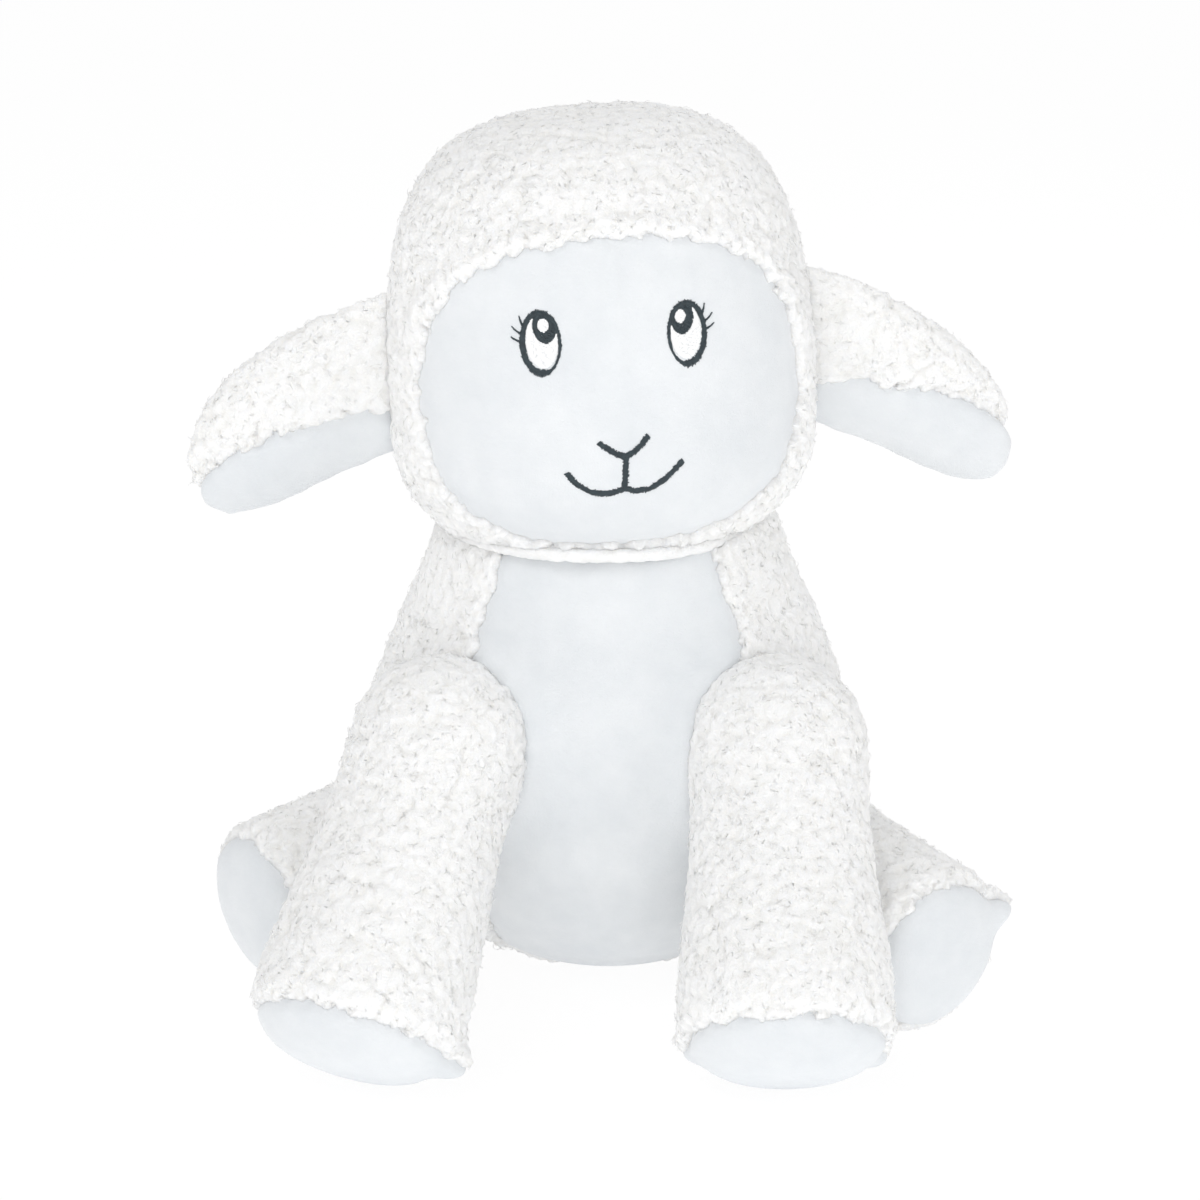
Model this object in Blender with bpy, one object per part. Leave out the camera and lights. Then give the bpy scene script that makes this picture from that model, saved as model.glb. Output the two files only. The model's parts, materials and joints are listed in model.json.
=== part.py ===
"""A sitting plush sheep: sewn skins of fleece and short pile over loose stuffing.

Metres, +Z up. The toy sits on z = 0 and faces -Y, so its own right side is at -X.
Each stuffed member is one form at three depths: the outside of the skin, the
inside of the skin and the stuffing. The skin is what lies between the first two,
and windows cut it into its panels. Head and legs turn on ball-shaped roots that
seat in sockets of the trunk, so a socket is always cut by the form that fills it.
"""

import math

import bmesh
import bpy
from mathutils import Matrix, Vector

# Cloth, thread and the gaps between pieces
skin = 0.0022
seam_gap = 0.0003
joint_gap = 0.0003
floor_cut = 0.0005
thread_height = 0.0006

# Trunk: a pear that leans its belly forward, up to the neck
body_width = 0.128
body_depth = 0.104
neck_height = 0.124
belly_lean = 0.004
body_shares = [
    (0.00, 0.24), (0.03, 0.42), (0.09, 0.62), (0.19, 0.82), (0.33, 0.96), (0.49, 1.00),
    (0.64, 0.975), (0.78, 0.875), (0.90, 0.755), (0.99, 0.66), (1.06, 0.56), (1.12, 0.35),
]
body_crown_share = 1.14
body_depth_shares = [(0.00, 1.00), (0.50, 1.00), (0.80, 1.05), (1.00, 1.16), (1.20, 1.20)]
belly_window = 0.074
belly_window_back = -0.0205
belly_window_shares = [
    (0.05, 0.50), (0.09, 0.72), (0.20, 0.90), (0.36, 0.97), (0.55, 1.00), (0.72, 0.98),
    (0.84, 0.92), (0.94, 0.80), (1.02, 0.74), (1.20, 0.72),
]
neck_cord = 0.0012
neck_cord_share = 0.84

# Head: an egg with its wide end down, on a pivot in its middle
head_width = 0.111
head_depth = 0.098
head_up = 0.083
head_down = 0.037
head_crown_power = 3.3
cheek_drop = 0.020
head_forward = 0.004
head_aside = 0.002
head_seat_share = 1.0
head_turn_deg = 5.0
head_tilt_deg = 3.0

# Face panel and embroidery, from the pivot in the head's own frame
face_width = 0.096
face_height = 0.079
face_power = 2.4
eye_apart = 0.0358
eye_rise = 0.0136
eye_width = 0.0103
eye_height = 0.0162
eye_line = 0.0012
pupil_width = 0.0056
pupil_height = 0.0082
pupil_rise = 0.0036
pupil_inward = 0.0010
glint_width = 0.0024
glint_height = 0.0032
glint_low_share = 0.06
lash_length = 0.0028
lash_width = 0.0008
lash_turns_deg = (8.0, 34.0, 58.0)
face_line = 0.0017
nose_width = 0.0122
nose_drop = 0.0150
nose_arm_rise = 0.0040
nose_stem = 0.0070
nose_aside = 0.0010
smile_width = 0.0270
smile_rise = 0.0048

# Ears: flat stuffed leaves hinged on a seam down the side of the head
ear_length = 0.049
ear_width = 0.044
ear_thickness = 0.017
ear_root_share = 0.75
ear_tip_share = 1.03
ear_root = 0.007
ear_droop_deg = {"right": 24.0, "left": 31.0}
ear_behind = 0.003
ear_drop = 0.002
ear_width_shares = [
    (0.00, 1.00), (0.25, 1.00), (0.50, 0.98), (0.70, 0.90), (0.84, 0.77), (0.94, 0.55), (1.00, 0.26),
]
ear_thickness_shares = [
    (0.00, 0.48), (0.20, 0.80), (0.45, 1.00), (0.70, 0.96), (0.84, 0.82), (0.94, 0.58), (1.00, 0.26),
]
ear_seam_drop_share = 0.14
ear_seam_droop_deg = 14.0
ear_seam_slant_deg = 48.0

# Legs: what differs between fore and hind is in two tables of sizes
fore_leg = {
    "length": 0.071, "root": 0.046, "waist": 0.045, "foot": 0.054, "sole": 0.016, "height": 0.077,
    "standoff": {"right": 0.007, "left": 0.007}, "azimuth_deg": {"right": 38.5, "left": 38.5},
    "splay_deg": {"right": 25.0, "left": 1.0},
}
hind_leg = {
    "length": 0.051, "root": 0.051, "waist": 0.048, "foot": 0.046, "sole": 0.010, "height": 0.029,
    "standoff": {"right": -0.005, "left": -0.003}, "azimuth_deg": {"right": 105.0, "left": 75.0},
    "splay_deg": {"right": 54.0, "left": 38.0},
}
sole_seam_share = 0.30
limb_root_shares = [-1.0, -0.8, -0.6, -0.4, -0.2, 0.0]
limb_taper_shares = [(0.30, 0.0), (0.50, 0.22), (0.72, 0.66), (0.88, 0.93)]
limb_dome_shares = [0.0, 0.32, 0.60, 0.82, 1.0]
limb_dome_power_share = 0.62

# Tail
tail_length = 0.019
tail_root = 0.018
tail_width = 0.024
tail_height = 0.036
tail_droop_deg = 35.0
tail_standoff = 0.001

# Bag of pellets in the seat
pouch_width = 0.038
pouch_height = 0.020
pouch_lift = 0.003
pouch_cloth = 0.0010
pouch_mouth_length = 0.014
pouch_mouth_width = 0.002
pouch_power_share = 0.7

# Facets
form_facets = 26
lining_facets = 13
limb_facets = 20
ball_facets = 36
head_rings = 16
outline_points = 24
curve_steps = 2
cord_facets = 6
pouch_rings = 10
sharp_edge_deg = 50.0
weld = 0.00001

# How far a cutter reaches
cutter_reach = 0.30

FLEECE = ("sherpa_fleece", (0.93, 0.925, 0.90), 0.95)
MINKY = ("short_pile", (0.90, 0.925, 0.955), 0.85)
THREAD = ("dark_thread", (0.030, 0.045, 0.055), 0.55)
WHITE_THREAD = ("white_thread", (0.93, 0.94, 0.95), 0.5)
STUFFING = ("stuffing", (0.95, 0.95, 0.95), 0.95)
POUCH = ("pouch_cloth", (0.85, 0.85, 0.83), 0.8)
PELLETS = ("pellets", (0.75, 0.78, 0.80), 0.4)

side_sign = {"right": -1, "left": 1}

for old in list(bpy.data.objects):
    bpy.data.objects.remove(old)
parts = bpy.data.collections.new("plush_sheep")
cutters = bpy.data.collections.new("cutters")
for group in (parts, cutters):
    bpy.context.scene.collection.children.link(group)


def material(look):
    name, colour, roughness = look
    found = bpy.data.materials.get(name)
    if found:
        return found
    made = bpy.data.materials.new(name)
    made.use_nodes = True
    shader = made.node_tree.nodes["Principled BSDF"]
    shader.inputs["Base Color"].default_value = (*colour, 1)
    shader.inputs["Roughness"].default_value = roughness
    shader.inputs["Metallic"].default_value = 0
    return made


def add_object(name, mesh, frame=None, look=None):
    """A part if it has a look. Otherwise a cutter, drawn as wire and never rendered."""
    obj = bpy.data.objects.new(name, mesh)
    obj.parent = frame
    if look:
        parts.objects.link(obj)
        mesh.materials.append(material(look))
        mesh.shade_smooth()
        mesh.set_sharp_from_angle(angle=math.radians(sharp_edge_deg))
    else:
        cutters.objects.link(obj)
        obj.hide_render = True
        obj.display_type = "WIRE"
    return obj


def frame_at(name, point, turn=None, under=None):
    """The empty on a joint's axis that carries the pieces of one moving member."""
    empty = bpy.data.objects.new(name, None)
    parts.objects.link(empty)
    empty.empty_display_size = skin
    empty.parent = under
    empty.matrix_local = Matrix.Translation(point) @ (turn or Matrix())
    return empty


def cut(obj, *others, operation="DIFFERENCE"):
    for other in others:
        step = obj.modifiers.new(operation.lower(), "BOOLEAN")
        step.operation = operation
        step.object = other
    return obj


# Meshes


def finish_mesh(bm):
    bmesh.ops.recalc_face_normals(bm, faces=bm.faces)
    mesh = bpy.data.meshes.new("form")
    bm.to_mesh(mesh)
    bm.free()
    return mesh


def turned(profile, facets, reshape=None):
    """A profile of (radius, height) points, spun about Z. reshape then moves each point.

    Quads whose corners moved are no longer flat, so they are split into triangles.
    """
    bm = bmesh.new()
    corners = [bm.verts.new((radius, 0, height)) for radius, height in profile]
    edges = [bm.edges.new(pair) for pair in zip(corners, corners[1:])]
    bmesh.ops.spin(bm, geom=corners + edges, cent=(0, 0, 0), axis=(0, 0, 1),
                   angle=math.tau, steps=facets, use_merge=True)
    bmesh.ops.remove_doubles(bm, verts=bm.verts, dist=weld)
    if reshape:
        for corner in bm.verts:
            corner.co = reshape(*corner.co)
        bmesh.ops.triangulate(bm, faces=bm.faces)
    return finish_mesh(bm)


def ball(radius, facets):
    bm = bmesh.new()
    bmesh.ops.create_uvsphere(bm, u_segments=facets, v_segments=facets // 2, radius=radius)
    return finish_mesh(bm)


def box(low, high):
    bm = bmesh.new()
    bmesh.ops.create_cube(bm, size=1)
    for corner in bm.verts:
        corner.co = [a if c < 0 else b for a, b, c in zip(low, high, corner.co)]
    return finish_mesh(bm)


def slab(outline, back=0.0):
    """An outline in X and Z made solid along Y, from the plane at back out past the front."""
    bm = bmesh.new()
    face = bm.faces.new([bm.verts.new((x, back, z)) for x, z in outline])
    made = bmesh.ops.extrude_face_region(bm, geom=[face])["geom"]
    moved = [item for item in made if isinstance(item, bmesh.types.BMVert)]
    bmesh.ops.translate(bm, verts=moved, vec=(0, -cutter_reach, 0))
    return finish_mesh(bm)


# Profiles and outlines


def smooth_curve(points, steps=curve_steps):
    """Points on a Catmull-Rom curve through the given ones, both ends kept."""
    ends = [points[0], *points, points[-1]]
    found = []
    for a, b, c, d in zip(ends, ends[1:], ends[2:], ends[3:]):
        for step in range(steps):
            t = step / steps
            found.append(tuple(
                0.5 * (2 * q + (r - p) * t + (2 * p - 5 * q + 4 * r - s) * t ** 2
                       + (3 * q - p - 3 * r + s) * t ** 3)
                for p, q, r, s in zip(a, b, c, d)
            ))
    return found + [points[-1]]


def table_value(shares, at):
    """A value read from a table of (place, value), straight between its rows."""
    for (low, first), (high, second) in zip(shares, shares[1:]):
        if at <= high:
            return first + (second - first) * max(at - low, 0) / (high - low)
    return shares[-1][1]


def inset(profile, depth):
    """The profile moved square to itself, inwards for a positive depth, ends on the axis."""
    moved = []
    last = len(profile) - 1
    for index, (radius, height) in enumerate(profile):
        before, after = profile[max(index - 1, 0)], profile[min(index + 1, last)]
        along = Vector((after[0] - before[0], after[1] - before[1])).normalized()
        if index in (0, last):
            along = Vector((1, 0)) if index == 0 else Vector((-1, 0))
        radius = 0 if index in (0, last) else max(radius - depth * along.y, weld)
        moved.append((radius, height + depth * along.x))
    return moved


def oval(width, height, centre=(0, 0), power=2.0):
    """A superellipse outline in X and Z."""
    corners = []
    for index in range(outline_points):
        turn = math.tau * index / outline_points
        corners.append([
            middle + size / 2 * math.copysign(abs(wave) ** (2 / power), wave)
            for middle, size, wave in zip(centre, (width, height), (math.cos(turn), math.sin(turn)))
        ])
    return corners


def stroke(path, width):
    """The outline of a line of thread along a path in X and Z."""
    left, right = [], []
    for index, point in enumerate(path):
        before, after = path[max(index - 1, 0)], path[min(index + 1, len(path) - 1)]
        along = (Vector(after) - Vector(before)).normalized()
        side = Vector((-along.y, along.x)) * width / 2
        left.append(Vector(point) + side)
        right.append(Vector(point) - side)
    return left + right[::-1]


def arc_path(centre, across, sag, steps=8):
    """A shallow bow in X and Z, lowest at its middle."""
    return [
        (centre[0] + across / 2 * wave, centre[1] + sag * wave * wave)
        for wave in (2 * step / steps - 1 for step in range(steps + 1))
    ]


# Stuffed members


def floor_below(depth):
    """The block under the level where a member's form at this depth is cut flat."""
    low = (-cutter_reach, -cutter_reach, -cutter_reach)
    return add_object(f"floor_{depth * 1e4:.0f}", box(low, (cutter_reach, cutter_reach, depth)))


core_depth = skin + seam_gap
floor_blocks = {depth: floor_below(depth) for depth in (0.0, skin, core_depth)}


def stuffed(name, form, window, frame, sockets, names, floor=True):
    """The two skin panels and the stuffing of one member.

    form(label, depth, facets, look) makes the form at a depth, window(gap) the cutter
    of the second panel, and sockets(depth) the cutters that dent the form.
    """
    first, second, core = names

    def dented(obj, depth):
        return cut(obj, *([floor_blocks[depth]] if floor else []), *sockets(depth))

    hollow = dented(form(f"{name}_hollow", skin, lining_facets, None), skin)
    wall = dented(form(first[0], 0.0, form_facets, first[1]), 0.0)
    cut(wall, add_object(f"{name}_window", window(0.0), frame), hollow)
    panel = dented(form(second[0], 0.0, form_facets, second[1]), 0.0)
    cut(panel, add_object(f"{name}_window_panel", window(seam_gap), frame), operation="INTERSECT")
    cut(panel, hollow)
    return dented(form(core, core_depth, lining_facets, STUFFING), core_depth)


# Trunk form


def body_radius(height):
    return body_width / 2 * table_value(body_shares, height / neck_height)


def body_profile(depth):
    points = [(share * body_width / 2, level * neck_height) for level, share in body_shares]
    curve = points + [(0, body_crown_share * neck_height)]
    return inset([(0, -floor_cut), (curve[0][0], -floor_cut)] + curve[1:], depth)


def lean_at(height):
    return belly_lean * math.sin(math.pi * min(max(height / neck_height, 0), 1))


def depth_share_at(height):
    return body_depth / body_width * table_value(body_depth_shares, height / neck_height)


def body_form(name, depth, facets, look=None):
    def pear(x, y, z):
        return x, y * depth_share_at(z) - lean_at(z), z

    return add_object(name, turned(body_profile(depth), facets, pear), look=look)


def off_trunk(azimuth_deg, height, standoff, sign):
    """A point outside the trunk's wall. Azimuth is counted from the front."""
    turn = math.radians(azimuth_deg)
    radius = body_radius(height)
    depth_share = depth_share_at(height)
    wall = Vector((radius * math.sin(turn), -radius * depth_share * math.cos(turn), 0))
    outward = Vector((wall.x * depth_share, wall.y / depth_share, 0)).normalized()
    place = wall + outward * standoff
    return Vector((sign * place.x, place.y - lean_at(height), height))


# Head form, and the ball that its socket follows


def head_profile(depth):
    """Radius and height from the pivot: an ellipse below the cheeks, a fuller crown above."""
    points = []
    for ring in range(head_rings + 1):
        rise = math.sin(math.pi * (ring / head_rings - 0.5))
        power = 2.0 if rise < 0 else head_crown_power
        radius = head_width / 2 * max(1 - abs(rise) ** power, 0) ** (1 / power)
        points.append((radius, rise * (head_down if rise < 0 else head_up) - cheek_drop))
    return inset(points, depth)


def head_form(name, depth, facets, look=None, frame=None):
    def squeeze(x, y, z):
        return x, y * head_depth / head_width, z

    return add_object(name, turned(head_profile(depth), facets, squeeze), frame or head, look)


neck_radius = body_radius(neck_height)
head_ball = max(
    math.hypot(*point) for point in head_profile(0)
    if point[1] < 0 and point[0] < neck_radius * head_seat_share
)
socket_ball = (head_ball + joint_gap) / math.cos(math.pi / ball_facets) ** 2
pivot_height = neck_height + math.sqrt(head_ball ** 2 - neck_radius ** 2)
head_turn = Matrix.Rotation(math.radians(head_turn_deg), 4, "Z")
head_tilt = Matrix.Rotation(-math.radians(head_tilt_deg), 4, "Y")
neck = frame_at("neck_pivot", (-head_aside, -head_forward, pivot_height))
head = frame_at("head_pivot", (0, 0, 0), head_turn @ head_tilt, neck)


# Limb forms


def limb_profile(size, depth):
    """Root ball round the pivot, a waist, and a foot that ends in a low dome."""
    root, waist, foot = size["root"] / 2, size["waist"] / 2, size["foot"] / 2
    points = []
    for share in limb_root_shares:
        turn = math.pi / 2 * share
        points.append((root * math.cos(turn), root * math.sin(turn)))
    for along, mix in limb_taper_shares:
        radius = waist + (foot - waist) * mix
        points.append((radius, size["length"] * along))
    for share in limb_dome_shares:
        turn = math.pi / 2 * share
        points.append((foot * math.cos(turn) ** limb_dome_power_share,
                       size["length"] + size["sole"] * math.sin(turn)))
    return inset(points, depth)


def socket_growth(size):
    """How much larger than the root its socket is, so that facets pass each other as it turns."""
    return joint_gap + size["root"] / 2 * (1 / math.cos(math.pi / limb_facets) ** 2 - 1)


def resting_pitch(profile, height):
    """How steeply a limb hangs from this height for its lowest point to meet the floor."""
    low, high = 0.0, math.pi / 2
    for step in range(40):
        pitch = (low + high) / 2
        reach = max(r * math.cos(pitch) + along * math.sin(pitch) for r, along in profile)
        low, high = (pitch, high) if reach < height else (low, pitch)
    return low


def limb_frame(name, size, side):
    """A frame at the root, Z along the limb, X level. The foot's side rests on the floor."""
    sign = side_sign[side]
    point = off_trunk(size["azimuth_deg"][side], size["height"], size["standoff"][side], sign)
    pitch = resting_pitch(limb_profile(size, 0), size["height"] + floor_cut)
    splay = math.radians(size["splay_deg"][side]) * sign
    along = Matrix.Rotation(math.pi / 2 + pitch, 4, "X")
    return frame_at(name, point, Matrix.Rotation(splay, 4, "Z") @ along)


def limb_form(size, frame):
    def form(name, depth, facets, look=None):
        used = limb_facets if facets == form_facets else limb_facets * 2 // 3
        return add_object(name, turned(limb_profile(size, depth), used), frame, look)

    return form


limbs = {}
for kind, size in (("front", fore_leg), ("hind", hind_leg)):
    for side in side_sign:
        label = f"{kind}_leg_{side}"
        limbs[label] = (size, limb_frame(f"{label}_pivot", size, side))

# Tail form
tail_size = {
    "root": tail_root, "waist": tail_root, "foot": tail_width, "length": tail_length,
    "sole": tail_width / 2,
}
tail_base = off_trunk(180.0, tail_height, tail_standoff, 1)
tail = frame_at("tail_pivot", tail_base,
                Matrix.Rotation(-math.pi / 2 - math.radians(tail_droop_deg), 4, "X"))


def trunk_sockets(depth):
    """The head's ball and the root of each limb, grown by this depth, as cutters."""
    label = f"{depth * 1e4:.0f}"
    found = [add_object(f"neck_socket_{label}", ball(socket_ball + depth, ball_facets), neck)]
    for name, (size, frame) in limbs.items():
        grown = limb_profile(size, -socket_growth(size) - depth)
        found.append(add_object(f"{name}_socket_{label}", turned(grown, limb_facets), frame))
    grown = limb_profile(tail_size, -socket_growth(tail_size) - depth)
    found.append(add_object(f"tail_socket_{label}", turned(grown, limb_facets), tail))
    return found


def belly_slab(gap):
    rows = [(level * neck_height, share * belly_window / 2) for level, share in belly_window_shares]
    rows = smooth_curve(rows)
    rows[0] = (rows[0][0] + gap, rows[0][1])
    right = [(half - gap, height) for height, half in rows]
    return slab(right + [(-x, z) for x, z in reversed(right)], belly_window_back)


body_filling = stuffed(
    "body", body_form, belly_slab, None, trunk_sockets,
    (("body_fleece", FLEECE), ("belly_panel", MINKY), "body_filling"),
)

# Neck cord: the gathered closing seam in the crease between head and trunk
cord_ring = neck_radius * neck_cord_share
cord_reach = head_ball + joint_gap + neck_cord / 2
cord_drop = -math.sqrt(cord_reach ** 2 - cord_ring ** 2)


def neck_ring(radius):
    return turned_ring(cord_ring, cord_drop, radius)


def turned_ring(ring, height, radius):
    bm = bmesh.new()
    steps = [math.tau * step / cord_facets for step in range(cord_facets)]
    corners = [
        bm.verts.new((ring + radius * math.cos(turn), 0, height + radius * math.sin(turn)))
        for turn in steps
    ]
    edges = [bm.edges.new(pair) for pair in zip(corners, corners[1:] + corners[:1])]
    bmesh.ops.spin(bm, geom=corners + edges, cent=(0, 0, 0), axis=(0, 0, 1),
                   angle=math.tau, steps=ball_facets, use_merge=True)
    bmesh.ops.remove_doubles(bm, verts=bm.verts, dist=weld)
    return finish_mesh(bm)


add_object("neck_seam", neck_ring(neck_cord / 2), neck, FLEECE)
cord_groove = add_object("neck_groove", neck_ring(neck_cord / 2 + joint_gap), neck)
for name in ("body_fleece", "belly_panel", "body_filling"):
    cut(bpy.data.objects[name], cord_groove)

# Bag of pellets, low in the seat under the stuffing


def pouch_mesh(depth, open_below=False):
    """The bag's rounded form, or the room for it, which is open to the seat."""
    half, rise = pouch_width / 2 - depth, pouch_height / 2 - depth
    points = []
    for step in range(pouch_rings + 1):
        turn = math.pi * (step / pouch_rings - 0.5)
        points.append((half * max(math.cos(turn), 0) ** pouch_power_share, rise * math.sin(turn)))
    points[0], points[-1] = (0, points[0][1]), (0, points[-1][1])
    if open_below:
        points = [(0, -pouch_height), (half, -pouch_height)] + points[pouch_rings // 2:]
    return turned(points, lining_facets, lambda x, y, z: (x, y * body_depth / body_width, z))


pouch_level = core_depth + pouch_lift + pouch_height / 2
pouch_frame = frame_at("pouch_place", (0, -lean_at(pouch_height), pouch_level))
pouch = add_object("pellet_pouch", pouch_mesh(0), pouch_frame, POUCH)
cut(pouch, add_object("pouch_hollow", pouch_mesh(pouch_cloth), pouch_frame))
mouth_half = Vector((pouch_mouth_length, pouch_mouth_width, 0)) / 2
mouth = box(-mouth_half, mouth_half + Vector((0, 0, pouch_height)))
cut(pouch, add_object("pouch_mouth", mouth, pouch_frame))
add_object("pellets", pouch_mesh(pouch_cloth + seam_gap), pouch_frame, PELLETS)
cut(body_filling, add_object("pouch_room", pouch_mesh(-seam_gap, open_below=True), pouch_frame))

# Legs and tail


def no_sockets(depth):
    return []


for name, (size, frame) in limbs.items():
    seam = size["length"] + size["sole"] * sole_seam_share

    def past_seam(gap, seam=seam):
        reach = cutter_reach
        return box((-reach, -reach, seam + gap), (reach, reach, reach))

    names = ((f"{name}_fleece", FLEECE), (f"{name}_sole", MINKY), f"{name}_filling")
    stuffed(name, limb_form(size, frame), past_seam, frame, no_sockets, names)

add_object("tail_fleece", turned(limb_profile(tail_size, 0), limb_facets), tail, FLEECE)

# Head skin, face panel and stuffing


def face_slab(gap):
    return slab(oval(face_width - 2 * gap, face_height - 2 * gap, power=face_power))


stuffed(
    "head", head_form, face_slab, head, no_sockets,
    (("head_fleece", FLEECE), ("face_panel", MINKY), "head_filling"), floor=False,
)

# Embroidery: a thin layer over the face panel, cut to outlines
stitch_base = head_form("stitch_base", -seam_gap, form_facets)


def stitched(name, outline, look, *holes, joined=(), within=()):
    """A flat patch of thread that follows the face: an outline less holes, plus joined strokes.

    What lies outside the outlines in within is left off.
    """
    shape = add_object(f"{name}_outline", slab(outline), head)
    for index, hole in enumerate(holes):
        cut(shape, add_object(f"{name}_hole_{index}", slab(hole), head))
    for index, extra in enumerate(joined):
        cut(shape, add_object(f"{name}_stroke_{index}", slab(extra), head), operation="UNION")
    for index, limit in enumerate(within):
        cut(shape, add_object(f"{name}_limit_{index}", slab(limit), head), operation="INTERSECT")
    patch = head_form(name, -seam_gap - thread_height, form_facets, look)
    cut(patch, shape, operation="INTERSECT")
    return cut(patch, stitch_base)


def eye(side):
    sign = side_sign[side]
    centre = (sign * eye_apart / 2, eye_rise)
    white = (eye_width - 2 * eye_line, eye_height - 2 * eye_line)
    lashes = []
    for turn_deg in lash_turns_deg:
        turn = math.radians(turn_deg)
        way = Vector((sign * math.cos(turn), math.sin(turn)))
        edge = Vector(centre) + Vector((way.x * eye_width, way.y * eye_height)) / 2
        lashes.append(stroke([edge - way * eye_line / 2, edge + way * lash_length], lash_width))
    stitched(f"eye_outline_{side}", oval(eye_width, eye_height, centre), THREAD,
             oval(*white, centre), joined=lashes)
    pupil_centre = (centre[0] - sign * pupil_inward, centre[1] + pupil_rise)
    glint_centre = (pupil_centre[0], pupil_centre[1] - glint_low_share * pupil_height)
    gap = 2 * seam_gap
    stitched(f"eye_white_{side}", oval(white[0] - gap, white[1] - gap, centre), WHITE_THREAD,
             oval(pupil_width + gap, pupil_height + gap, pupil_centre))
    stitched(f"pupil_{side}", oval(pupil_width, pupil_height, pupil_centre), THREAD,
             oval(glint_width + gap, glint_height + gap, glint_centre),
             within=[oval(white[0] - gap, white[1] - gap, centre)])
    stitched(f"eye_glint_{side}", oval(glint_width, glint_height, glint_centre), WHITE_THREAD)


for side in side_sign:
    eye(side)

fork = Vector((nose_aside, -nose_drop))
arm = Vector((nose_width / 2, nose_arm_rise))
arms = [fork + Vector((-arm.x, arm.y)), fork + Vector((-arm.x, arm.y)) / 2, fork,
        fork + arm / 2, fork + arm]
stem_foot = fork - Vector((0, nose_stem))
stitched("nose_embroidery", stroke(arms, face_line), THREAD,
         joined=[stroke([fork, stem_foot], face_line)])
smile_low = stem_foot - Vector((0, face_line + seam_gap))
stitched("mouth_embroidery", stroke(arc_path(smile_low, smile_width, smile_rise), face_line), THREAD)

# Ears


def ear_mesh(droop_deg):
    """A leaf: round section at the hinge, width along X, thickness along Y, length along Z."""
    levels = [-ear_root / 2, -ear_root / 2 * ear_root_share, 0]
    levels += [ear_length * level for level, share in smooth_curve(ear_width_shares)[1:]]
    profile = [(0, levels[0])] + [(1, level) for level in levels[1:]]
    profile.append((0, ear_length * ear_tip_share))
    sag = math.tan(math.radians(droop_deg))

    def leaf(x, y, z):
        along = max(z / ear_length, 0)
        half_width = ear_width / 2 * table_value(ear_width_shares, along)
        half_thickness = ear_thickness / 2 * table_value(ear_thickness_shares, along)
        if z < 0:
            half_thickness = math.sqrt(max((ear_root / 2) ** 2 - z * z, 0))
        return x * half_width - max(z, 0) * sag, y * half_thickness, z

    return turned(profile, limb_facets, leaf)


for side in side_sign:
    sign = side_sign[side]
    reach = max(radius for radius, height in head_profile(0)) + ear_root / 2 + joint_gap
    upright = Matrix.Rotation(-math.pi / 2, 4, "Y")
    if sign > 0:
        upright = Matrix.Rotation(math.pi, 4, "Z") @ upright
    ear = frame_at(f"ear_{side}_pivot", (sign * reach, ear_behind, -ear_drop), upright, head)
    seam_turn = Matrix.Rotation(-math.radians(ear_seam_droop_deg), 4, "Y")
    seam_turn = seam_turn @ Matrix.Rotation(math.radians(sign * ear_seam_slant_deg), 4, "Z")
    seam = frame_at(f"ear_{side}_seam", (-ear_seam_drop_share * ear_width, 0, 0), seam_turn, ear)
    for name, look, gap in (("fleece", FLEECE, 0), ("lining", MINKY, seam_gap)):
        leaf = add_object(f"ear_{name}_{side}", ear_mesh(ear_droop_deg[side]), ear, look)
        lower = box((-cutter_reach, -cutter_reach, -cutter_reach), (-gap, cutter_reach, cutter_reach))
        half = add_object(f"ear_{name}_half_{side}", lower, seam)
        cut(leaf, half, operation="DIFFERENCE" if gap == 0 else "INTERSECT")
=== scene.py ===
# %% [markdown]
# # A plush sheep, dressed over its working frame
# The frame holds the sheep's solid pieces and its joints. This lesson sews the soft outside: curly fleece,
# short smooth pile, stuffed ears and legs, and eyes and a smile in satin stitch.

# %% Load the frame
import json
import math
import random

import bpy
import numpy as np
from mathutils import Matrix, Vector, noise
from mathutils.bvhtree import BVHTree

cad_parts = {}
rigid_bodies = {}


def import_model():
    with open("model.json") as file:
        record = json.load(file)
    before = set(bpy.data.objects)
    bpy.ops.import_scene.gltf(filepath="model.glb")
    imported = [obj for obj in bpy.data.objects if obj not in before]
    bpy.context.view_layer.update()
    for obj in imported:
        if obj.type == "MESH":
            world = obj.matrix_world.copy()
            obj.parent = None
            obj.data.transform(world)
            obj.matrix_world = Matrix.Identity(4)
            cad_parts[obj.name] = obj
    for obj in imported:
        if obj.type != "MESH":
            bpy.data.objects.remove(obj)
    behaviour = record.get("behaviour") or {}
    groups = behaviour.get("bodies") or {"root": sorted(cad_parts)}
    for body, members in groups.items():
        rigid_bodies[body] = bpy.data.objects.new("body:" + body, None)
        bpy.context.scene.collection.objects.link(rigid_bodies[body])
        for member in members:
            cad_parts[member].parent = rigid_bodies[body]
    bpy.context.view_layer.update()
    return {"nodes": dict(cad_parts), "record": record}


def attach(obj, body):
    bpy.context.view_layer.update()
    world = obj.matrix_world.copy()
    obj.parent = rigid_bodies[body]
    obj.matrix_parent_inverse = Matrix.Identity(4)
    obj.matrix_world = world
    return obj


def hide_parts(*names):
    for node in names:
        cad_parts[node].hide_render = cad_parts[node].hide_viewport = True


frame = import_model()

# %% [markdown]
# ## Tools for the work
# Operators act on what is selected, so every step first selects only its own piece. A stuffed member starts
# from copies of its solids, because they have its place and size.

# %% Select pieces, and copy solids
def only(*pieces):
    bpy.ops.object.select_all(action="DESELECT")
    for piece in pieces:
        piece.select_set(True)
    bpy.context.view_layer.objects.active = pieces[0]


def in_edit(piece, mode="VERT"):
    only(piece)
    bpy.ops.object.mode_set(mode="EDIT")
    bpy.ops.mesh.select_mode(type=mode)
    bpy.ops.mesh.select_all(action="DESELECT")


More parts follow.
